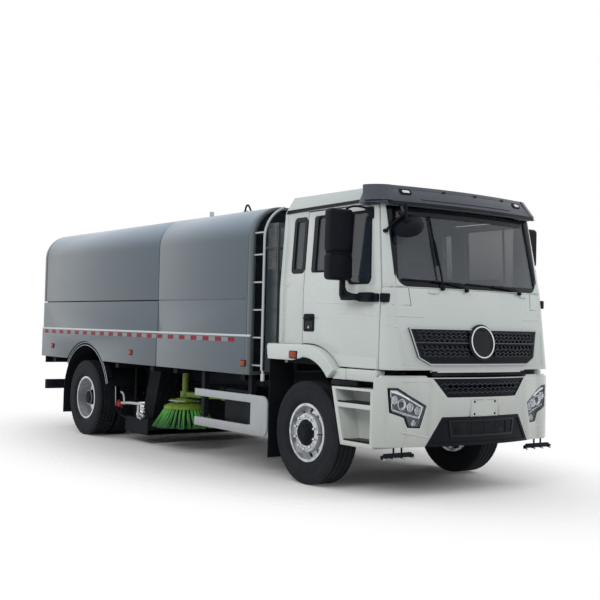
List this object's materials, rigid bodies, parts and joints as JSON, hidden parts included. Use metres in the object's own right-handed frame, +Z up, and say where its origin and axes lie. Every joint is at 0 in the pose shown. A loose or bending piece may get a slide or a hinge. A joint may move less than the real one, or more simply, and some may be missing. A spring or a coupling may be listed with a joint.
{
  "type": "street sweeper truck",
  "caption": "Cab-over street sweeper truck with a grey rounded sweeping body, green side brushes, suction nozzle, tipping hopper, tilting cab and steered front wheels.",
  "frame": {"origin": "on the ground, below the middle of the overall box", "axes": "+X forward, +Y left, +Z up"},
  "size_m": [8.14, 2.85, 2.995],
  "materials": {
    "cab_paint": "gloss off-white paint",
    "body_paint": "satin grey paint",
    "frame_black": "satin black paint",
    "band_grey": "dark grey paint",
    "axle_iron": "dusty dark iron",
    "guard_grey": "light grey paint",
    "green_paint": "green paint",
    "bristle_green": "green bristles",
    "tyre_black": "black tyre rubber",
    "rim_silver": "silver paint",
    "window_glass": "tinted glass",
    "black_plastic": "grained black plastic",
    "black_rubber": "black rubber",
    "lamp_clear": "clear and red lamp lenses",
    "seat_cloth": "dark woven cloth",
    "ladder_steel": "bright steel tube"
  },
  "bodies": {
    "chassis": {"chassis_frame": "frame_black", "front_axle": "axle_iron", "rear_axle": "axle_iron", "powertrain": "axle_iron", "front_bumper": "cab_paint", "bumper_trim": "black_plastic", "lamps": "lamp_clear", "cab_steps": "cab_paint", "mudguards": "black_rubber", "side_guards": "guard_grey", "side_tanks": "guard_grey", "rear_underrun_bar": "frame_black", "body_subframe": "frame_black", "body_front_shell": "body_paint", "body_front_frame": "band_grey", "body_front_wall": "frame_black", "side_skirts": "body_paint", "ladder": "ladder_steel", "air_intake_tower": "black_plastic", "suction_nozzle": "frame_black", "suction_ducts": "black_rubber"},
    "cab": {"cab_floor": "cab_paint", "cab_rear_wall": "cab_paint", "cab_sides": "cab_paint", "cab_roof": "cab_paint", "cab_front_panel": "cab_paint", "cab_glass": "window_glass", "upper_grille": "black_plastic", "sun_visor": "black_plastic", "seats": "seat_cloth", "dashboard": "black_plastic", "front_fenders": "cab_paint"},
    "hopper": {"hopper_box": "body_paint"},
    "tailgate": {"tailgate": "body_paint"},
    "door_right": {"door_right": "cab_paint", "door_glass_right": "window_glass", "mirror_right": "black_plastic"},
    "knuckle_right": {"knuckle_right": "axle_iron"},
    "front_wheel_right": {"front_wheel_right": "rim_silver", "front_tyre_right": "tyre_black"},
    "rear_wheels_right": {"rear_wheels_right": "rim_silver", "rear_tyres_right": "tyre_black"},
    "brush_arm_right": {"brush_arm_right": "green_paint"},
    "brush_head_right": {"brush_head_right": "green_paint"},
    "brush_right": {"brush_right": "bristle_green"},
    "door_left": {"door_left": "cab_paint", "door_glass_left": "window_glass", "mirror_left": "black_plastic"},
    "knuckle_left": {"knuckle_left": "axle_iron"},
    "front_wheel_left": {"front_wheel_left": "rim_silver", "front_tyre_left": "tyre_black"},
    "rear_wheels_left": {"rear_wheels_left": "rim_silver", "rear_tyres_left": "tyre_black"},
    "brush_arm_left": {"brush_arm_left": "green_paint"},
    "brush_head_left": {"brush_head_left": "green_paint"},
    "brush_left": {"brush_left": "bristle_green"}
  },
  "joints": [
    {"name": "cab_tilt", "type": "hinge", "parent": "chassis", "child": "cab", "pos_m": [3.975, 0, 1.188], "axis": [0, 1, 0], "range_deg": [0, 45]},
    {"name": "hopper_tip", "type": "hinge", "parent": "chassis", "child": "hopper", "pos_m": [-3.95, 0, 1.13], "axis": [0, -1, 0], "range_deg": [0, 45]},
    {"name": "tailgate_open", "type": "hinge", "parent": "hopper", "child": "tailgate", "pos_m": [-3.99, 0, 2.948], "axis": [0, 1, 0], "range_deg": [0, 70]},
    {"name": "door_open_right", "type": "hinge", "parent": "cab", "child": "door_right", "pos_m": [3.73, -1.111, 1.215], "axis": [0, 0, 1], "range_deg": [0, 70]},
    {"name": "steer_right", "type": "hinge", "parent": "chassis", "child": "knuckle_right", "pos_m": [2.69, -0.905, 0.525], "axis": [0, 0, 1], "range_deg": [-38, 38]},
    {"name": "front_roll_right", "type": "hinge", "parent": "knuckle_right", "child": "front_wheel_right", "pos_m": [2.69, -1.022, 0.525], "axis": [0, 1, 0], "continuous": true},
    {"name": "rear_roll_right", "type": "hinge", "parent": "chassis", "child": "rear_wheels_right", "pos_m": [-2.51, -0.927, 0.525], "axis": [0, 1, 0], "continuous": true},
    {"name": "brush_swing_right", "type": "hinge", "parent": "chassis", "child": "brush_arm_right", "pos_m": [0.21, -0.56, 0.7], "axis": [0, 0, 1], "range_deg": [0, 30]},
    {"name": "brush_lower_right", "type": "slide", "parent": "brush_arm_right", "child": "brush_head_right", "axis": [0, 0, -1], "range_m": [0, 0.27]},
    {"name": "brush_spin_right", "type": "hinge", "parent": "brush_head_right", "child": "brush_right", "pos_m": [-0.39, -0.8, 0.4], "axis": [0, 0, 1], "continuous": true},
    {"name": "door_open_left", "type": "hinge", "parent": "cab", "child": "door_left", "pos_m": [3.73, 1.111, 1.215], "axis": [0, 0, -1], "range_deg": [0, 70]},
    {"name": "steer_left", "type": "hinge", "parent": "chassis", "child": "knuckle_left", "pos_m": [2.69, 0.905, 0.525], "axis": [0, 0, 1], "range_deg": [-38, 38]},
    {"name": "front_roll_left", "type": "hinge", "parent": "knuckle_left", "child": "front_wheel_left", "pos_m": [2.69, 1.022, 0.525], "axis": [0, 1, 0], "continuous": true},
    {"name": "rear_roll_left", "type": "hinge", "parent": "chassis", "child": "rear_wheels_left", "pos_m": [-2.51, 0.927, 0.525], "axis": [0, 1, 0], "continuous": true},
    {"name": "brush_swing_left", "type": "hinge", "parent": "chassis", "child": "brush_arm_left", "pos_m": [0.21, 0.56, 0.7], "axis": [0, 0, -1], "range_deg": [0, 30]},
    {"name": "brush_lower_left", "type": "slide", "parent": "brush_arm_left", "child": "brush_head_left", "axis": [0, 0, -1], "range_m": [0, 0.27]},
    {"name": "brush_spin_left", "type": "hinge", "parent": "brush_head_left", "child": "brush_left", "pos_m": [-0.39, 0.8, 0.4], "axis": [0, 0, 1], "continuous": true}
  ],
  "couplings": [
    {"joint": "steer_left", "follows": "steer_right", "ratio": 1}
  ]
}
